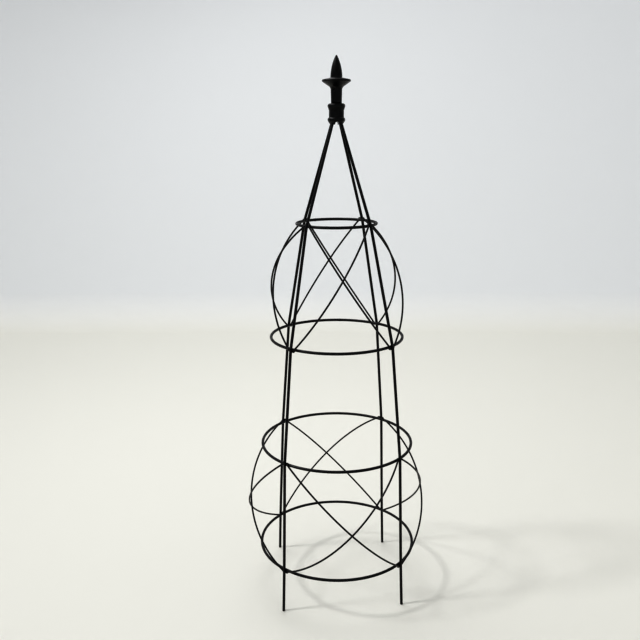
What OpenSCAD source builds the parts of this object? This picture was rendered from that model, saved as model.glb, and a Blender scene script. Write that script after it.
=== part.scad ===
// Garden obelisk: a four-legged plant support of welded round bar, with a cast collar and finial.
// Millimetres, +Z up. The origin is on the ground, on the obelisk's own axis, and -Y is the front.

/* [Overall] */
// Height from the ground to the tip of the finial
overall_h = 1524; // [1420:1:1900]
// Distance from the axis to the middle of each leg, at the ground
foot_r = 241; // [200:1:290]

/* [Bar sizes] */
// Diameter of the round bar that the legs are bent from
leg_d = 8; // [6:0.5:12]
// Diameter of the round bar that the hoops are rolled from
hoop_d = 8; // [6:0.5:12]
// Diameter of the wire in the crossed bows
wire_d = 5; // [3:0.5:7]
// Radius of each bend in a leg, measured to the bar's centreline
leg_bend_r = 60; // [20:5:120]
// How much thicker the bar is in its bends, so that they close over the straights' ends
bend_swell = 0.1; // [0.05:0.05:0.3]

/* [Hoops] */
// Height of the bottom hoop's centreline
bottom_hoop_z = 125; // [80:1:200]
// Vertical distance from one hoop to the next
hoop_pitch = 320; // [260:1:345]
// Centreline radius of the bottom hoop
bottom_hoop_r = 228; // [190:1:270]
// Centreline radius of the lower hoop
lower_hoop_r = 218; // [180:1:260]
// Centreline radius of the upper hoop
upper_hoop_r = 186.5; // [150:0.5:225]
// Centreline radius of the top hoop
top_hoop_r = 109.5; // [85:0.5:135]

/* [Crossed bows] */
// How far each lower pair's inner wire stands out from its chord: front, right, back, left
lower_inner_bow = [86, 85, 86, 93.5]; // [40:1:110]
// How much more than a wire's thickness each lower pair's outer wire bows out: front, right, back, left
lower_outer_gap = [5, 0.5, 5, 0]; // [0:0.5:20]
// How far each upper pair's inner wire stands out from its chord: front, right, back, left
upper_inner_bow = [58, 58, 58, 64]; // [30:1:80]
// Angle round the hoop's bar at which a wire's end lies on it, up from level
wire_seat_angle = 25; // [0:1:60]

/* [As welded] */
// Slip of each leg clockwise round the lower hoop: front left, front right, back right, back left
lower_slip = [0, 0, 0, 9]; // [-10:0.5:10]
// Slip of each leg clockwise round the upper hoop: front left, front right, back right, back left
upper_slip = [0, 0, 0, 9]; // [-10:0.5:10]
// Slip of each leg clockwise round the top hoop: front left, front right, back right, back left
top_slip = [7, 0, 0, 0]; // [-8:0.5:8]
// Downward lean of each lower inner wire's plane: front, right, back, left
lower_inner_lean = [0, 4, 4, 0]; // [-8:1:15]
// Downward lean of each lower outer wire's plane: front, right, back, left
lower_outer_lean = [11, 3, -3, 13]; // [-8:1:15]
// Downward lean of each upper inner wire's plane: front, right, back, left
upper_inner_lean = [6, 0, 3, 0]; // [-8:1:15]
// Downward lean of each upper outer wire's plane: front, right, back, left
upper_outer_lean = [6, 0, 0, 0]; // [-8:1:15]

/* [Welds] */
// How far two welded bars sink into one another
weld_bite = 0.2; // [0.05:0.05:0.4]
// Diameter of each bead of weld metal
weld_d = 8; // [5:0.5:11]

/* [Collar] */
// Height of the collar
collar_h = 54; // [45:1:75]
// Diameter across the collar's two beads
collar_bead_d = 47; // [44:0.5:60]
// Diameter of the straight waist between the beads
collar_waist_d = 40; // [36:0.5:50]
// Diameter of the collar's mouth, where the legs come out
collar_mouth_d = 34; // [30:0.5:40]
// Width of the arches cut between the legs in the collar's mouth
arch_d = 10; // [6:0.5:12]
// How high the top of each arch stands above the mouth
arch_h = 7; // [5.5:0.5:9]
// Depth of the leg sockets, measured straight up from the mouth
socket_h = 18; // [12:1:22]
// Distance from the axis to the middle of a leg, at the collar's mouth
leg_mouth_r = 17.3; // [15:0.1:20]
// Gap all round between a leg and its socket
socket_gap = 0.1; // [0.05:0.05:0.3]

/* [Finial] */
// Height of the finial above the collar
finial_h = 122; // [110:1:150]
// Diameter of the finial's stem where it stands on the collar
stem_foot_d = 28.6; // [24:0.2:33]
// Diameter of the stem just under the skirt
stem_top_d = 30; // [26:0.2:35]
// Diameter across the rim of the skirt
skirt_d = 76.8; // [66:0.2:90]
// Thickness of the skirt's round rim
skirt_rim_t = 6.8; // [4:0.2:9]
// Height of the middle of the rim above the collar
skirt_z = 57.6; // [52:0.2:66]
// Slope of the skirt's underside, from level
skirt_under_angle = 33.6; // [28:0.2:40]
// Slope of the skirt's top, from level
skirt_top_angle = 12; // [6:0.5:18]
// Radius of the sweep from the stem into the skirt
skirt_fillet_r = 12; // [8:0.5:14]
// Diameter of the spear where it leaves the skirt
spear_d = 31.2; // [26:0.2:36]
// Radius of the spear's blunt tip
tip_r = 2; // [0.5:0.5:4]
// Diameter of the spigot that holds the finial in the collar
spigot_d = 12; // [8:0.5:16]
// Length of the spigot
spigot_h = 14; // [10:0.5:18]
// Gap all round the spigot, and below it, in its bore
spigot_gap = 0.1; // [0.05:0.05:0.3]

/* [Hidden] */
$fn = 96;
LEGS = ["front_left", "front_right", "back_right", "back_left"];
HOOPS = ["bottom", "lower", "upper", "top"];
FACES = ["front", "right", "back", "left"];
// A face lies between leg f and leg f + 1. True where its outer wire starts at leg f + 1.
OUTER_FROM_NEXT = [true, true, false, true];
FIRST_LEG_ANGLE = 225;
STEEL = "#1d1d1f";
CASTING = "#242426";
over = 1;

hoop_rs = [bottom_hoop_r, lower_hoop_r, upper_hoop_r, top_hoop_r];
hoop_zs = [for (k = [0:3]) bottom_hoop_z + k * hoop_pitch];
slips = [[0, 0, 0, 0], lower_slip, upper_slip, top_slip];

leg_touch = (leg_d + hoop_d) / 2 - weld_bite;
wire_on_hoop = (wire_d + hoop_d) / 2 - weld_bite;
wire_on_leg = (wire_d + leg_d) / 2 - weld_bite;

collar_top_z = overall_h - finial_h;
collar_z = collar_top_z - collar_h;
// A leg runs straight from the top hoop to its seat inside the collar.
leg_rise = (hoop_rs[3] + leg_touch - leg_mouth_r) / (collar_z - hoop_zs[3]);
seat_r = leg_mouth_r - leg_rise * socket_h;

function unit(v) = v / norm(v);
function round_axis(r, angle, z) = [r * cos(angle), r * sin(angle), z];
function leg_angle(i) = FIRST_LEG_ANGLE + 90 * i;
// Where leg i crosses hoop k: the hoops are welded to the legs a little off their true quarters.
function joint_angle(i, k) = leg_angle(i) - 180 / PI * slips[k][i % 4] / hoop_rs[k];
function leg_path(i) = concat(
    [round_axis(foot_r, leg_angle(i), 0)],
    [for (k = [0:3]) round_axis(hoop_rs[k] + leg_touch, joint_angle(i, k), hoop_zs[k])],
    [round_axis(seat_r, leg_angle(i), collar_z + socket_h)]);

// How far the bar turns at point i of its path, and the length of straight that each half takes.
function bend_turn(p, i) = acos(unit(p[i] - p[i - 1]) * unit(p[i + 1] - p[i]));
function bend_run(p, i) = i < 1 || i > len(p) - 2 ? 0 : leg_bend_r * tan(bend_turn(p, i) / 2);

// A straight round bar from point a to point b. seam is how far its round face's seam is turned.
module bar(a, b, d, seam = 0) {
    v = b - a;
    translate(a) rotate([0, acos(v[2] / norm(v)), atan2(v[1], v[0])]) rotate([0, 0, seam])
        cylinder(d = d, h = norm(v));
}

// A round bar along an arc about centre, in the plane of x and y, which are square to one another.
module arc_bar(centre, x, y, arc_r, first, angle, d) {
    z = cross(x, y);
    multmatrix([for (j = [0:2]) [x[j], y[j], z[j], centre[j]]])
        rotate([0, 0, first]) rotate_extrude(angle = angle) translate([arc_r, 0]) circle(d = d);
}

// One bend of a bar, at point i of its path. It laps half a degree onto each straight.
module bend(p, i, d) {
    lap = 0.5;
    a = unit(p[i] - p[i - 1]);
    b = unit(p[i + 1] - p[i]);
    inward = unit(b - (a * b) * a);
    centre = p[i] - a * bend_run(p, i) + inward * leg_bend_r;
    arc_bar(centre, -inward, a, leg_bend_r, -lap, bend_turn(p, i) + 2 * lap, d);
}

// A bar bent at every inner point of its path where it turns.
module bent_bar(p, d) {
    least_turn = 0.01;
    for (i = [0:len(p) - 2]) {
        v = unit(p[i + 1] - p[i]);
        bar(p[i] + v * bend_run(p, i), p[i + 1] - v * bend_run(p, i + 1), d);
    }
    for (i = [1:len(p) - 2]) if (bend_turn(p, i) > least_turn) bend(p, i, d + bend_swell);
}

// A leg: bent at each hoop, cut level at the ground, square where it seats in the collar.
module leg(i) {
    path = leg_path(i);
    below = path[0] - unit(path[1] - path[0]) * leg_d;
    cut = 4 * leg_d;
    color(STEEL) difference() {
        bent_bar(concat([below], [for (j = [1:len(path) - 1]) path[j]]), leg_d);
        translate(path[0] - [cut / 2, cut / 2, cut]) cube(cut);
    }
}

module hoop(k) {
    color(STEEL) translate([0, 0, hoop_zs[k]]) rotate_extrude()
        translate([hoop_rs[k], 0]) circle(d = hoop_d);
}

// Where a wire ends: on hoop k and against leg i. side is 1 or -1 along the hoop, up is 1 or -1.
function wire_end(i, k, side, up) =
    let (leg_r = hoop_rs[k] + leg_touch,
         r = hoop_rs[k] + wire_on_hoop * cos(wire_seat_angle),
         apart = acos((leg_r * leg_r + r * r - wire_on_leg * wire_on_leg) / (2 * leg_r * r)))
    round_axis(r, joint_angle(i, k) + side * apart, hoop_zs[k] + up * wire_on_hoop * sin(wire_seat_angle));

// A wire in face f, bowed outwards in one circular arc, from hoop k + 1 down to hoop k.
module bow(f, k, from_next, height, lean) {
    top_leg = from_next ? f + 1 : f;
    side = from_next ? -1 : 1;
    top = wire_end(top_leg, k + 1, side, 1);
    bottom = wire_end(top_leg + side, k, -side, -1);
    chord = norm(bottom - top);
    along = unit(bottom - top);
    face_out = round_axis(1, leg_angle(f) + 45, 0);
    square_out = unit(face_out - (face_out * along) * along);
    sideways = cross(square_out, along);
    down = -sign(sideways[2]) * sideways;
    out = cos(lean) * square_out + sin(lean) * down;
    arc_r = (chord * chord / 4 + height * height) / (2 * height);
    half = asin(chord / 2 / arc_r);
    centre = (top + bottom) / 2 + out * (height - arc_r);
    color(STEEL) arc_bar(centre, out, along, arc_r, -half, 2 * half, wire_d);
}

// One wire of a face's pair. The outer one bows out by a wire's thickness more than the inner, and a
// gap. In the upper bay it has no gap but bites into the inner wire, where the pair has no lean.
module wire(bay, f, outer) {
    lower = bay == "lower";
    from_next = outer == OUTER_FROM_NEXT[f];
    inner_bow = lower ? lower_inner_bow[f] : upper_inner_bow[f];
    further = outer ? wire_d + (lower ? lower_outer_gap[f] : -weld_bite) : 0;
    inner_lean = lower ? lower_inner_lean[f] : upper_inner_lean[f];
    outer_lean = lower ? lower_outer_lean[f] : upper_outer_lean[f];
    bow(f, lower ? 0 : 2, from_next, inner_bow + further, outer ? outer_lean : inner_lean);
}

// The beads at hoop k: one each side of every leg, over the wire's end, the leg and the hoop.
module welds(k) {
    up = k % 2 == 1 ? 1 : -1;
    for (i = [0:3], side = [-1, 1]) {
        end = wire_end(i, k, side, up);
        inwards = (hoop_rs[k] + hoop_d / 2) / norm([end[0], end[1]]);
        color(STEEL) translate([end[0] * inwards, end[1] * inwards, end[2]]) sphere(d = weld_d);
    }
}

// Half of the collar's section, from its mouth up.
module collar_section() {
    bead_r = collar_bead_d / 2;
    waist_r = collar_waist_d / 2;
    mouth_r = collar_mouth_d / 2;
    low_bead = 7;
    high_bead = 6.5;
    low_z = 12;
    cone_angle = 25;
    cove_h = 10;
    intersection() {
        union() {
            translate([bead_r - low_bead, low_z]) circle(r = low_bead);
            translate([bead_r - high_bead, collar_h - high_bead]) circle(r = high_bead);
            polygon([[0, 0], [mouth_r, 0],
                [bead_r - low_bead * (1 - cos(cone_angle)), low_z - low_bead * sin(cone_angle)],
                [bead_r - low_bead, low_z], [waist_r, low_z + low_bead / 2],
                [waist_r, collar_h - 2 * high_bead - cove_h / 2],
                [bead_r - high_bead * (1 - cos(cone_angle)), collar_h - high_bead * (1 + sin(cone_angle))],
                [bead_r - high_bead, collar_h - high_bead], [bead_r - high_bead, collar_h], [0, collar_h]]);
        }
        square([collar_bead_d, collar_h]);
    }
}

module collar() {
    color(CASTING) difference() {
        translate([0, 0, collar_z]) rotate_extrude() collar_section();
        // A socket's seam faces sideways, clear of the arches.
        for (i = [0:3]) bar(leg_path(i)[4], leg_path(i)[5], leg_d + 2 * socket_gap, seam = 90);
        for (a = [0, 90]) rotate([90, 0, a])
            translate([0, collar_z + arch_h - arch_d / 2, -collar_bead_d])
                cylinder(d = arch_d, h = 2 * collar_bead_d);
        translate([0, 0, collar_top_z - spigot_h - spigot_gap])
            cylinder(d = spigot_d + 2 * spigot_gap, h = spigot_h + spigot_gap + over);
    }
}

// The skirt's section: two straight slopes, tangent to the round rim and to the sweep below.
module skirt_section() {
    rim_r = skirt_rim_t / 2;
    stem_r = stem_top_d / 2;
    rim = [skirt_d / 2 - rim_r, skirt_z];
    rim_low = rim + rim_r * [sin(skirt_under_angle), -cos(skirt_under_angle)];
    rim_high = rim + rim_r * [sin(skirt_top_angle), cos(skirt_top_angle)];
    sweep = [stem_r + skirt_fillet_r, rim_low[1] + (stem_r + skirt_fillet_r - rim_low[0])
        * tan(skirt_under_angle) - skirt_fillet_r / cos(skirt_under_angle)];
    sweep_end = sweep + skirt_fillet_r * [-sin(skirt_under_angle), cos(skirt_under_angle)];
    top = rim_high[1] + (rim_high[0] - spear_d / 2) * tan(skirt_top_angle);
    difference() {
        polygon([[0, sweep[1]], [stem_r, sweep[1]], sweep_end, rim_low, rim, rim_high,
            [spear_d / 2, top], [0, top]]);
        translate(sweep) circle(r = skirt_fillet_r);
    }
    translate(rim) circle(r = rim_r);
    polygon([[0, 0], [stem_foot_d / 2, 0], [stem_r, sweep[1]], [0, sweep[1]]]);
    // The spear is an ogive: one arc from the skirt until it runs smoothly into the blunt tip.
    spear_r = spear_d / 2;
    tip_z = finial_h - tip_r;
    ogive_r = (pow(tip_z - top, 2) + spear_r * spear_r - tip_r * tip_r) / (2 * (spear_r - tip_r));
    tip_angle = asin((tip_z - top) / (ogive_r - tip_r));
    intersection() {
        translate([spear_r - ogive_r, top]) circle(r = ogive_r, $fn = 360);
        translate([0, top - over]) square([spear_r, tip_z + tip_r * sin(tip_angle) - top + over]);
    }
    intersection() {
        translate([0, tip_z]) circle(r = tip_r);
        translate([0, tip_z]) square(tip_r);
    }
}

module finial() {
    color(CASTING) translate([0, 0, collar_top_z]) {
        rotate_extrude() skirt_section();
        translate([0, 0, -spigot_h]) cylinder(d = spigot_d, h = spigot_h + over);
    }
}

for (i = [0:3]) {
    leg(i);
    hoop(i);
    welds(i);
}
for (bay = ["lower", "upper"], f = [0:3], w = ["inner", "outer"]) {
    wire(bay, f, w == "outer");
}
collar();
finial();
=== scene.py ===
import math

import bpy
import numpy as np
from mathutils import Matrix, Vector


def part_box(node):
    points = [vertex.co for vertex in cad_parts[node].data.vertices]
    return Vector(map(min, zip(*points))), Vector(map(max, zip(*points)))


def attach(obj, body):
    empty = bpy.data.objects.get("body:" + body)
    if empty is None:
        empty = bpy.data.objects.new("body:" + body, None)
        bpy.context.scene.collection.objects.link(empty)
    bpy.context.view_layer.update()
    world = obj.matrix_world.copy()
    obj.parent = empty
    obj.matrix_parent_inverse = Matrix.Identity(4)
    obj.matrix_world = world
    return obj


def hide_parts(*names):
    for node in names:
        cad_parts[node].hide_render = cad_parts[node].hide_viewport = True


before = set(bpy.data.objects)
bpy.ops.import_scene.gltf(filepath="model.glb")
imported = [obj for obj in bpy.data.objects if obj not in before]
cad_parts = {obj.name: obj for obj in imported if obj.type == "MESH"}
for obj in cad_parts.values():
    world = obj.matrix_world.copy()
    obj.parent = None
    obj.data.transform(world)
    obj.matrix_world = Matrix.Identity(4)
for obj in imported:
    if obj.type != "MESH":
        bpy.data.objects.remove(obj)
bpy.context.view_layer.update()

BODY = "root"
LEGS = ["front_left", "front_right", "back_right", "back_left"]
HOOPS = ["bottom", "lower", "upper", "top"]
FACES = ["front", "right", "back", "left"]
leg_angles = np.radians([225, 315, 45, 135])

# ---------------------------------------------------------------------------------------------
# Camera. A standing person's view from chest height, about two metres off and turned a little to
# the obelisk's left, looking down at its middle.
# ---------------------------------------------------------------------------------------------
camera_distance = 2.046
camera_height = 1.316
camera_turn = math.radians(5.97)
camera_pan = math.radians(-1.32)
camera_tilt = math.radians(13.87)
camera_roll = math.radians(-0.36)

camera_data = bpy.data.cameras.new("camera")
camera_data.lens = 41.7
camera_data.sensor_width = 36
camera = bpy.data.objects.new("camera", camera_data)
bpy.context.scene.collection.objects.link(camera)
around = Matrix.Rotation(-camera_turn, 4, "Z")
aim = Matrix.Rotation(-camera_pan, 4, "Z") @ Matrix.Rotation(math.pi / 2 - camera_tilt, 4, "X")
stand = Matrix.Translation(Vector((0, -camera_distance, camera_height)))
camera.matrix_world = around @ stand @ aim @ Matrix.Rotation(camera_roll, 4, "Z")
bpy.context.scene.camera = camera

# ---------------------------------------------------------------------------------------------
# Legs. Four lengths of 8 mm round steel bar, cut square, bent a few degrees at each hoop and
# gathered into the collar. They stand outside the hoops and are welded to them.
# ---------------------------------------------------------------------------------------------
weld_bite = 0.0002
leg_bend_radius = 0.060
leg_mouth_radius = 0.0173
leg_socket_depth = 0.018
cut_chamfer = 0.0005
ring_spacing = 0.012

hoop_boxes = [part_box("hoop_" + name) for name in HOOPS]
bar_radius = (hoop_boxes[0][1].z - hoop_boxes[0][0].z) / 2
hoop_heights = [(low.z + high.z) / 2 for low, high in hoop_boxes]
hoop_radii = [(high.x - low.x) / 2 - bar_radius for low, high in hoop_boxes]
collar_low, collar_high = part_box("collar")
foot_radius = (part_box("leg_front_right")[1].x - bar_radius) * math.sqrt(2)
leg_offset = 2 * bar_radius - weld_bite
# How far each leg is welded on clockwise of its true quarter, hoop by hoop, in the order of LEGS.
joint_slips = [(0, 0, 0, 0), (0, 0, 0, 0.009), (0, 0, 0, 0.009), (0.007, 0, 0, 0)]


def joint_angle(leg, hoop):
    """The angle round the axis at which a leg crosses a hoop."""
    return leg_angles[leg % 4] - joint_slips[hoop][leg % 4] / hoop_radii[hoop]


def unit(vectors):
    """Vectors along the last axis, each divided by its own length."""
    return vectors / np.linalg.norm(vectors, axis=-1, keepdims=True)


def round_axis(radius, angle, height):
    """The point at a distance and an angle round the obelisk's axis, and at a height."""
    return np.array([radius * math.cos(angle), radius * math.sin(angle), height])


def bent_path(corners, bend_radius, step):
    """Points along a bar bent at its corners.

    Each straight is a line between two points. Each bend is an arc of bend_radius that starts and
    ends square on its two straights, at bend_radius * tan(turn / 2) from the corner.
    """
    ways = unit(np.diff(corners, axis=0))
    lengths = np.linalg.norm(np.diff(corners, axis=0), axis=1)
    cosines = (ways[:-1] * ways[1:]).sum(1)
    turns = np.arccos(cosines)
    inward = unit(ways[1:] - cosines[:, None] * ways[:-1])
    taken = np.concatenate([[0], bend_radius * np.tan(turns / 2), [0]])
    runs = []
    for i, way in enumerate(ways):
        along = np.linspace(taken[i], lengths[i] - taken[i + 1], max(int(lengths[i] / step), 2))
        runs.append(corners[i] + along[:, None] * way)
        if i < len(turns):
            swept = np.linspace(0, turns[i], 8)[1:-1, None]
            round_bend = np.sin(swept) * way + (1 - np.cos(swept)) * inward[i]
            runs.append(runs[-1][-1] + bend_radius * round_bend)
    return np.concatenate(runs)


def tube_grid(path, normal, radius, closed=False, sides=28):
    """Rings of points round a path that lies in one plane.

    Each ring is path + radius * (cos(angle) * normal + sin(angle) * across), where normal stands
    square to the plane and across is the path's direction crossed with normal. radius is one
    length, or one for each point of the path.
    """
    normal = np.asarray(normal, float)
    ways = np.roll(path, -1, 0) - np.roll(path, 1, 0) if closed else np.gradient(path, axis=0)
    across = np.cross(unit(ways), normal)
    angle = np.linspace(0, 2 * np.pi, sides, endpoint=False)
    ring = np.cos(angle)[None, :, None] * normal + np.sin(angle)[None, :, None] * across[:, None]
    return path[:, None] + np.broadcast_to(radius, len(path))[:, None, None] * ring


def grid_faces(rows, columns, closed_rows=False, first=0):
    """Four-sided faces over a grid whose columns run right round, as rows of vertex numbers."""
    row = np.arange(rows if closed_rows else rows - 1)[:, None]
    column = np.arange(columns)[None]
    below, above = row * columns, (row + 1) % rows * columns
    after = (column + 1) % columns
    faces = np.stack([below + column, below + after, above + after, above + column], axis=-1)
    return faces.reshape(-1, 4) + first


def build_piece(name, grids, material, nodes, closed=False):
    """One mesh object from grids of points, each open grid closed with a flat cap at both ends."""
    points, faces, first = [], [], 0
    for grid in grids:
        rows, columns = grid.shape[:2]
        points.append(grid.reshape(-1, 3))
        faces += grid_faces(rows, columns, closed, first).tolist()
        if not closed:
            faces.append(list(range(first + columns - 1, first - 1, -1)))
            faces.append(list(range(first + (rows - 1) * columns, first + rows * columns)))
        first += rows * columns
    mesh = bpy.data.meshes.new(name)
    mesh.from_pydata(np.concatenate(points), [], faces)
    mesh.shade_smooth()
    mesh.materials.append(material)
    piece = bpy.data.objects.new(name, mesh)
    bpy.context.scene.collection.objects.link(piece)
    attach(piece, BODY)
    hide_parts(*nodes)
    return piece


def add_socket(group, way, name, kind, value=None):
    """A named input or output of a node group, with its starting value."""
    socket = group.interface.new_socket(name, in_out=way, socket_type=kind)
    if value is not None:
        socket.default_value = value


def paint_film():
    """The paint on every piece: satin black, with a fine orange-peel surface and a bloom of dust.

    Peel is two noises added, one fine and one coarse. Dust gathers where the surface faces up and
    where a slow noise lets it. The same noise makes the gloss patchy, and dust dulls it.
    """
    group = bpy.data.node_groups.new("paint_film", "ShaderNodeTree")
    add_socket(group, "INPUT", "Paint", "NodeSocketColor", (0.006, 0.006, 0.0065, 1))
    add_socket(group, "INPUT", "Dust", "NodeSocketColor", (0.10, 0.097, 0.09, 1))
    add_socket(group, "INPUT", "Dust amount", "NodeSocketFloat", 0.15)
    add_socket(group, "INPUT", "Peel size", "NodeSocketFloat", 700.0)
    add_socket(group, "INPUT", "Peel depth", "NodeSocketFloat", 0.00004)
    add_socket(group, "INPUT", "Gloss low", "NodeSocketFloat", 0.26)
    add_socket(group, "INPUT", "Gloss high", "NodeSocketFloat", 0.42)
    add_socket(group, "OUTPUT", "Color", "NodeSocketColor")
    add_socket(group, "OUTPUT", "Roughness", "NodeSocketFloat")
    add_socket(group, "OUTPUT", "Normal", "NodeSocketVector")
    nodes, links = group.nodes, group.links
    given, given_out = nodes.new("NodeGroupInput"), nodes.new("NodeGroupOutput")
    place = nodes.new("ShaderNodeTexCoord")

    fine, coarse, patch = [nodes.new("ShaderNodeTexNoise") for _ in range(3)]
    double = nodes.new("ShaderNodeMath")
    double.operation = "MULTIPLY"
    double.inputs[1].default_value = 3.1
    links.new(given.outputs["Peel size"], coarse.inputs["Scale"])
    links.new(given.outputs["Peel size"], double.inputs[0])
    links.new(double.outputs[0], fine.inputs["Scale"])
    patch.inputs["Scale"].default_value = 38
    patch.inputs["Detail"].default_value = 5
    for noise in (fine, coarse, patch):
        links.new(place.outputs["Object"], noise.inputs["Vector"])
    peel = nodes.new("ShaderNodeMath")
    peel.operation = "MULTIPLY_ADD"
    peel.inputs[1].default_value = 0.35
    links.new(fine.outputs["Fac"], peel.inputs[0])
    links.new(coarse.outputs["Fac"], peel.inputs[2])
    bump = nodes.new("ShaderNodeBump")
    bump.inputs["Strength"].default_value = 1.0
    links.new(given.outputs["Peel depth"], bump.inputs["Distance"])
    links.new(peel.outputs[0], bump.inputs["Height"])
    links.new(bump.outputs["Normal"], given_out.inputs["Normal"])

    facing = nodes.new("ShaderNodeNewGeometry")
    split = nodes.new("ShaderNodeSeparateXYZ")
    links.new(facing.outputs["Normal"], split.inputs[0])
    upward = nodes.new("ShaderNodeMapRange")
    upward.inputs["From Min"].default_value = 0.1
    upward.inputs["From Max"].default_value = 1.0
    links.new(split.outputs["Z"], upward.inputs["Value"])
    clumps = nodes.new("ShaderNodeMapRange")
    clumps.inputs["From Min"].default_value = 0.35
    clumps.inputs["From Max"].default_value = 0.75
    links.new(patch.outputs["Fac"], clumps.inputs["Value"])
    settled = nodes.new("ShaderNodeMath")
    settled.operation = "MULTIPLY"
    links.new(upward.outputs["Result"], settled.inputs[0])
    links.new(clumps.outputs["Result"], settled.inputs[1])
    dusty = nodes.new("ShaderNodeMath")
    dusty.operation = "MULTIPLY"
    links.new(settled.outputs[0], dusty.inputs[0])
    links.new(given.outputs["Dust amount"], dusty.inputs[1])
    colour = nodes.new("ShaderNodeMix")
    colour.data_type = "RGBA"
    links.new(dusty.outputs[0], colour.inputs["Factor"])
    links.new(given.outputs["Paint"], colour.inputs["A"])
    links.new(given.outputs["Dust"], colour.inputs["B"])
    links.new(colour.outputs["Result"], given_out.inputs["Color"])

    gloss = nodes.new("ShaderNodeMapRange")
    gloss.inputs["From Min"].default_value = 0.3
    gloss.inputs["From Max"].default_value = 0.7
    links.new(patch.outputs["Fac"], gloss.inputs["Value"])
    links.new(given.outputs["Gloss low"], gloss.inputs["To Min"])
    links.new(given.outputs["Gloss high"], gloss.inputs["To Max"])
    dull = nodes.new("ShaderNodeMath")
    dull.operation = "MULTIPLY_ADD"
    dull.inputs[1].default_value = 0.4
    links.new(settled.outputs[0], dull.inputs[0])
    links.new(gloss.outputs["Result"], dull.inputs[2])
    links.new(dull.outputs[0], given_out.inputs["Roughness"])
    return group


film = paint_film()


def painted(name, film_values):
    """A painted steel or iron finish: the paint film with its own values, on one plain shader."""
    material = bpy.data.materials.new(name)
    material.use_nodes = True
    nodes, links = material.node_tree.nodes, material.node_tree.links
    shader = nodes["Principled BSDF"]
    shader.inputs["Specular IOR Level"].default_value = 0.35
    layer = nodes.new("ShaderNodeGroup")
    layer.node_tree = film
    for socket, value in film_values.items():
        layer.inputs[socket].default_value = value
    links.new(layer.outputs["Color"], shader.inputs["Base Color"])
    links.new(layer.outputs["Roughness"], shader.inputs["Roughness"])
    links.new(layer.outputs["Normal"], shader.inputs["Normal"])
    return material


bar_paint = painted("bar_paint", {"Peel size": 650.0, "Peel depth": 0.00004, "Dust amount": 0.06})

leg_rise = (hoop_radii[3] + leg_offset - leg_mouth_radius) / (collar_low.z - hoop_heights[3])
seat_radius = leg_mouth_radius - leg_rise * leg_socket_depth

for leg, name in enumerate(LEGS):
    foot = round_axis(foot_radius, leg_angles[leg], 0)
    joints = [
        round_axis(hoop_radii[hoop] + leg_offset, joint_angle(leg, hoop), hoop_heights[hoop])
        for hoop in range(4)
    ]
    seat = round_axis(seat_radius, leg_angles[leg], collar_low.z + leg_socket_depth)
    line = bent_path(np.array([foot, *joints, seat]), leg_bend_radius, ring_spacing)
    # The first ring starts below the ground and is pressed flat on it, which leaves a level cut.
    line = np.concatenate([[foot, foot], line[1:]])
    line[:2, 2] = -cut_chamfer, cut_chamfer
    leg_radius = np.full(len(line), bar_radius)
    leg_radius[0] -= cut_chamfer
    grid = tube_grid(line, round_axis(1, leg_angles[leg] + math.pi / 2, 0), leg_radius)
    grid[0, :, 2] = 0
    build_piece("bar_leg_" + name, [grid], bar_paint, ["leg_" + name])

# ---------------------------------------------------------------------------------------------
# Hoops. Four rings of the same bar, rolled round and butt-welded. Each lies level inside the legs.
# The butt weld is ground nearly flush and shows as a slight swelling.
# ---------------------------------------------------------------------------------------------
seam_swell = 0.00035
seam_half_length = 0.004
seam_angles = np.radians([62, 148, 81, 118])

for name, radius, height, seam in zip(HOOPS, hoop_radii, hoop_heights, seam_angles):
    turn = np.linspace(0, 2 * np.pi, 720, endpoint=False)
    line = np.stack([radius * np.cos(turn), radius * np.sin(turn), np.full(len(turn), height)], 1)
    from_seam = radius * np.abs((turn - seam + np.pi) % (2 * np.pi) - np.pi)
    thick = bar_radius + seam_swell * np.exp(-((from_seam / seam_half_length) ** 2))
    grid = tube_grid(line, [0, 0, 1], thick, closed=True)
    build_piece("bar_hoop_" + name, [grid], bar_paint, ["hoop_" + name], closed=True)

# ---------------------------------------------------------------------------------------------
# Crossed bows. Sixteen pieces of 5 mm wire, each rolled to one arc. Two cross in every face of the
# lower and of the upper bay, from one leg's joint to the next leg's, bulging outwards.
# ---------------------------------------------------------------------------------------------
wire_radius = 0.0025
wire_seat_angle = math.radians(25)
touching = 2 * wire_radius - weld_bite
bay_hoop = {"lower": 0, "upper": 2}
# How far each wire stands out from its chord, and how far its plane leans down, in the order of FACES.
bows = {
    "lower": {"inner": (0.086, 0.085, 0.086, 0.0935), "outer": (0.096, 0.0905, 0.096, 0.0985)},
    "upper": {"inner": (0.058, 0.058, 0.058, 0.064)},
}
bows["upper"]["outer"] = tuple(bow + touching for bow in bows["upper"]["inner"])
leans = {
    "lower": {"inner": (0, 4, 4, 0), "outer": (11, 3, -3, 13)},
    "upper": {"inner": (6, 0, 3, 0), "outer": (6, 0, 0, 0)},
}
outer_from_next = [True, True, False, True]
wire_on_bar = wire_radius + bar_radius - weld_bite

wire_paint = painted("wire_paint", {"Peel size": 800.0, "Peel depth": 0.00003, "Dust amount": 0.06})


def wire_end(leg, hoop, side, up):
    """The middle of a wire's cut end, against the outside of a hoop and the flank of a leg.

    side is 1 or -1 round the hoop, and up is 1 where the wire hangs from the hoop.
    """
    leg_radius_here = hoop_radii[hoop] + leg_offset
    radius = hoop_radii[hoop] + wire_on_bar * math.cos(wire_seat_angle)
    apart = (leg_radius_here**2 + radius**2 - wire_on_bar**2) / (2 * leg_radius_here * radius)
    angle = joint_angle(leg, hoop) + side * math.acos(apart)
    height = hoop_heights[hoop] + up * wire_on_bar * math.sin(wire_seat_angle)
    return round_axis(radius, angle, height)


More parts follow.
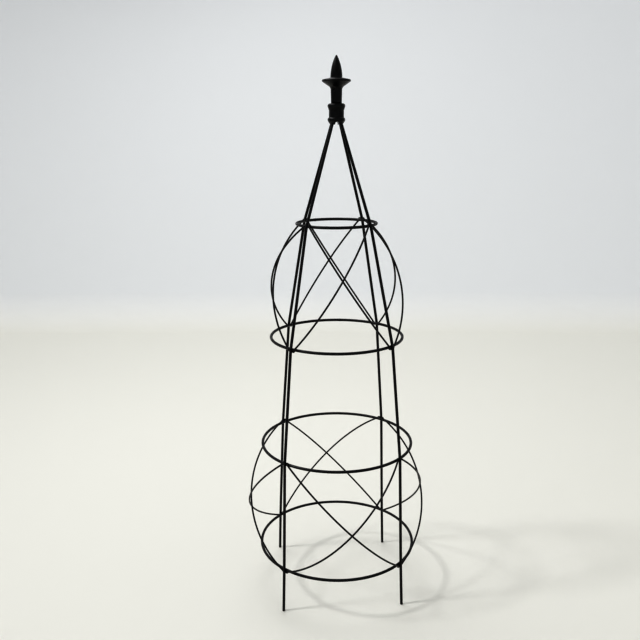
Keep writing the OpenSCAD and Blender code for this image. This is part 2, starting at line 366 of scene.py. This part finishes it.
def bow_line(face, hoop, from_next, bow, lean, count=72):
    """One circular arc from a leg's joint on the hoop above to the next leg's joint on this hoop.

    The arc stands out from its chord by bow, square to the chord and away from the axis, and its
    plane leans down by lean. Returns its points and the normal of that plane.
    """
    side = -1 if from_next else 1
    top_leg = face + 1 if from_next else face
    top = wire_end(top_leg, hoop + 1, side, 1)
    bottom = wire_end(top_leg + side, hoop, -side, -1)
    chord = bottom - top
    length = np.linalg.norm(chord)
    along = chord / length
    face_angle = leg_angles[face] + math.pi / 4
    outward = round_axis(1, face_angle, 0)
    out = unit(outward - (outward @ along) * along)
    down = np.cross(out, along)
    down *= -np.sign(down[2])
    out = math.cos(lean) * out + math.sin(lean) * down
    radius = (length**2 / 4 + bow**2) / (2 * bow)
    half = math.asin(length / 2 / radius)
    centre = (top + bottom) / 2 + out * (bow - radius)
    swept = np.linspace(-half, half, count)[:, None]
    return centre + radius * (np.cos(swept) * out + np.sin(swept) * along), np.cross(out, along)


for bay, hoop in bay_hoop.items():
    for face, face_name in enumerate(FACES):
        for layer in ("inner", "outer"):
            from_next = (layer == "outer") == outer_from_next[face]
            lean = math.radians(leans[bay][layer][face])
            line, normal = bow_line(face, hoop, from_next, bows[bay][layer][face], lean)
            name = f"{bay}_wire_{face_name}_{layer}"
            grid = tube_grid(line, normal, wire_radius, sides=20)
            build_piece("bow_" + name, [grid], wire_paint, [name])

# ---------------------------------------------------------------------------------------------
# Welds. At each of the sixteen joints, two beads of weld metal fill the corners between leg, hoop
# and wire end. Each bead is laid in a few overlapping ripples and painted over.
# ---------------------------------------------------------------------------------------------
bead_reach = np.array([0.0056, 0.0040, 0.0046])
ripple_depth = 0.07
lean_depth = 0.06
bead_paint = painted("bead_paint", {"Peel size": 520.0, "Peel depth": 0.00008, "Dust amount": 0.10})
dice = np.random.default_rng(7)


def bead_grid(centre, along, outward, ripples, phase):
    """A weld bead: a squashed ball whose radius is rippled across its length.

    Points are centre + bead_reach * (along, outward, up parts of a unit ball), and the ball's own
    radius is 1 + ripple_depth * cos(ripples * place along it + phase), plus a lean to one side.
    """
    rows, columns = 18, 28
    pole_gap = 0.04
    tilt = np.linspace(pole_gap, np.pi - pole_gap, rows)[:, None]
    turn = np.linspace(0, 2 * np.pi, columns, endpoint=False)[None]
    girth = np.sin(tilt)
    ball = np.stack([np.cos(tilt) + 0 * turn, girth * np.cos(turn), girth * np.sin(turn)], -1)
    ripple = ripple_depth * np.cos(ripples * ball[..., 0] + phase)
    swell = 1 + ripple + lean_depth * np.sin(2 * turn + 2 * tilt + phase)
    axes = np.array([along, outward, [0, 0, 1]])
    return centre + (swell[..., None] * ball * bead_reach) @ axes


for hoop, name in enumerate(HOOPS):
    grids = []
    for leg in range(4):
        for side in (-1, 1):
            end = wire_end(leg, hoop, side, 1 if hoop % 2 else -1)
            outward = end * [1, 1, 0] / np.linalg.norm(end[:2])
            middle = end - outward * (np.linalg.norm(end[:2]) - hoop_radii[hoop] - bar_radius)
            along = np.array([-outward[1], outward[0], 0])
            grids.append(bead_grid(middle, along, outward, dice.uniform(7, 9), dice.uniform(0, 6)))
    build_piece("beads_" + name, grids, bead_paint, ["welds_" + name])

# ---------------------------------------------------------------------------------------------
# Collar. A round iron casting, drilled from below for the four legs and arched between them. Its
# sharp edges are softened as a casting's are under paint.
# ---------------------------------------------------------------------------------------------
casting_edge = 0.0005
casting_paint = painted(
    "casting_paint",
    {"Peel size": 330.0, "Peel depth": 0.00013, "Dust amount": 0.07, "Gloss low": 0.24, "Gloss high": 0.38},
)

collar_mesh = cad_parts["collar"].data.copy()
collar_mesh.name = "cast_collar"
collar = bpy.data.objects.new("cast_collar", collar_mesh)
bpy.context.scene.collection.objects.link(collar)
collar_mesh.materials.clear()
collar_mesh.materials.append(casting_paint)
weld_points = collar.modifiers.new("merge", "WELD")
weld_points.merge_threshold = 1e-6
soften = collar.modifiers.new("soften", "BEVEL")
soften.width = casting_edge
soften.segments = 2
soften.angle_limit = math.radians(35)
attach(collar, BODY)
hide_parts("collar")

# ---------------------------------------------------------------------------------------------
# Finial. One iron casting turned from a round pattern: an ogive spear over a flared skirt on a
# waisted stem. The two halves of the mould leave a faint line down each side.
# ---------------------------------------------------------------------------------------------
finial_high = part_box("finial")[1]
finial_base = collar_high.z
finial_height = finial_high.z - finial_base
stem_foot_radius = 0.0143
stem_top_radius = 0.0150
skirt_radius = finial_high.x
rim_radius = 0.0034
rim_height = 0.0576
under_slope = math.radians(33.6)
top_slope = math.radians(12)
sweep_radius = 0.012
spear_radius = 0.0156
tip_radius = 0.002
mould_line = 0.00018
mould_line_width = 0.0005
mould_line_fade = 0.01
rim_wear = 0.001


def arc_points(centre, radius, start, end, count):
    """Points on a circle from one angle to another, in the plane of (radius, height)."""
    swept = np.linspace(start, end, count)[:, None]
    return np.asarray(centre) + radius * np.concatenate([np.cos(swept), np.sin(swept)], 1)


def finial_outline():
    """The finial's half section from the collar up: stem, sweep, rim, skirt top, then the spear.

    The sweep under the skirt and the rim are arcs tangent to the skirt's straight underside. The
    spear is one arc that leaves the skirt upright and meets the small round tip on the axis.
    """
    rim = np.array([skirt_radius - rim_radius, rim_height])
    rim_low = rim + rim_radius * np.array([math.sin(under_slope), -math.cos(under_slope)])
    rim_high = rim + rim_radius * np.array([math.sin(top_slope), math.cos(top_slope)])
    sweep_middle = stem_top_radius + sweep_radius
    drop = (rim_low[0] - sweep_middle) * math.tan(under_slope) + sweep_radius / math.cos(under_slope)
    sweep = np.array([sweep_middle, rim_low[1] - drop])
    shoulder = rim_high[1] + (rim_high[0] - spear_radius) * math.tan(top_slope)
    tip_height = finial_height - shoulder - tip_radius
    ogive = (tip_height**2 + spear_radius**2 - tip_radius**2) / (2 * (spear_radius - tip_radius))
    tip_angle = math.asin(tip_height / (ogive - tip_radius))
    stem = np.linspace([stem_foot_radius, 0], [stem_top_radius, sweep[1]], 14)
    under = arc_points(sweep, sweep_radius, math.pi, math.pi / 2 + under_slope, 16)
    round_rim = arc_points(rim, rim_radius, under_slope - math.pi / 2, math.pi / 2 - top_slope, 20)
    top = np.linspace(rim_high, [spear_radius, shoulder], 12)
    spear = arc_points([spear_radius - ogive, shoulder], ogive, 0, tip_angle, 44)
    tip_top = 0.48 * math.pi
    tip = arc_points([0, shoulder + tip_height], tip_radius, tip_angle, tip_top, 8)
    return np.concatenate([stem, under[1:], round_rim, top[1:], spear[1:], tip[1:]])


outline = finial_outline()
turn = np.linspace(0, 2 * np.pi, 160, endpoint=False)
girth = outline[:, :1]
off_line = np.abs(np.sin(turn))[None] * girth
# The line fades out towards the tip, and is worn off the rim.
fade = np.clip(girth / mould_line_fade, 0, 1) * (girth < skirt_radius - rim_wear)
reach = girth + mould_line * fade * np.exp(-((off_line / mould_line_width) ** 2))
grid = np.stack(
    [reach * np.cos(turn), reach * np.sin(turn), outline[:, 1:] + finial_base + 0 * turn], -1
)
build_piece("cast_finial", [grid], casting_paint, ["finial"])

# ---------------------------------------------------------------------------------------------
# Floor and light. A plain pale floor that turns up into a plain white wall, near behind and in
# front and far off at the sides, so that the key light comes in low over the wall's left end. The
# key light is one broad sun from the front and left, with a weak lamp behind and an even sky.
# ---------------------------------------------------------------------------------------------
floor_reach = (14.0, 2.9)
sweep_size = 0.25
wall_height = 3.6

bend = np.linspace(0, np.pi / 2, 24)
spread = np.concatenate([[0, 0.5, 1], np.ones(len(bend) - 1), [1]])
beyond = np.concatenate([[0, 0, 0], sweep_size * np.sin(bend[1:]), [sweep_size]])
rise = np.concatenate([[0, 0, 0], sweep_size * (1 - np.cos(bend[1:])), [wall_height]])
turn = np.linspace(0, 2 * np.pi, 240, endpoint=False)
# Each ring is an ellipse that takes floor_reach for its two half widths, plus the sweep's own reach.
floor_grid = np.stack(
    [
        (spread[:, None] * floor_reach[0] + beyond[:, None]) * np.cos(turn),
        (spread[:, None] * floor_reach[1] + beyond[:, None]) * np.sin(turn),
        rise[:, None] + 0 * turn,
    ],
    axis=-1,
)
floor_mesh = bpy.data.meshes.new("floor")
floor_points = (floor_grid.reshape(-1, 3) @ np.array(around.to_3x3()).T)[len(turn) - 1 :]
floor_faces = grid_faces(*floor_grid.shape[:2])[len(turn) :, ::-1] - len(turn) + 1
rim = np.arange(1, len(turn) + 1)
fan = np.stack([0 * rim, rim, np.roll(rim, -1)], axis=1)
floor_mesh.from_pydata(floor_points, [], fan.tolist() + floor_faces.tolist())
floor_mesh.shade_smooth()
floor = bpy.data.objects.new("floor", floor_mesh)
bpy.context.scene.collection.objects.link(floor)
stage_paint = bpy.data.materials.new("stage_paint")
stage_paint.use_nodes = True
nodes, links = stage_paint.node_tree.nodes, stage_paint.node_tree.links
nodes["Principled BSDF"].inputs["Roughness"].default_value = 0.7
place, split = nodes.new("ShaderNodeTexCoord"), nodes.new("ShaderNodeSeparateXYZ")
up, tint = nodes.new("ShaderNodeMapRange"), nodes.new("ShaderNodeMix")
links.new(place.outputs["Object"], split.inputs[0])
links.new(split.outputs["Z"], up.inputs["Value"])
up.inputs["From Max"].default_value = sweep_size
tint.data_type = "RGBA"
tint.inputs["A"].default_value = (0.69, 0.685, 0.64, 1)
tint.inputs["B"].default_value = (0.91, 0.925, 0.95, 1)
links.new(up.outputs["Result"], tint.inputs["Factor"])
links.new(tint.outputs["Result"], nodes["Principled BSDF"].inputs["Base Color"])
floor_mesh.materials.append(stage_paint)


def aim_lamp(name, kind, direction, energy):
    """A lamp that shines from a direction, given as seen by a person facing the obelisk."""
    data = bpy.data.lights.new(name, kind)
    data.energy = energy
    light = bpy.data.objects.new(name, data)
    bpy.context.scene.collection.objects.link(light)
    way = (around @ Vector((*direction, 0))).xyz
    light.rotation_euler = way.to_track_quat("Z", "Y").to_euler()
    light.location = way
    return data


aim_lamp("key_light", "SUN", (-0.111, -0.020, 0.125), 0.75).angle = math.radians(7)
aim_lamp("far_light", "AREA", (-0.6, 1.0, 3.2), 22).size = 1.6
world = bpy.data.worlds.new("world")
bpy.context.scene.world = world
world.use_nodes = True
world.node_tree.nodes["Background"].inputs["Color"].default_value = (1.0, 1.0, 1.0, 1)
world.node_tree.nodes["Background"].inputs["Strength"].default_value = 0.40
bpy.context.scene.view_settings.view_transform = "Standard"
bpy.context.scene.view_settings.look = "Very High Contrast"
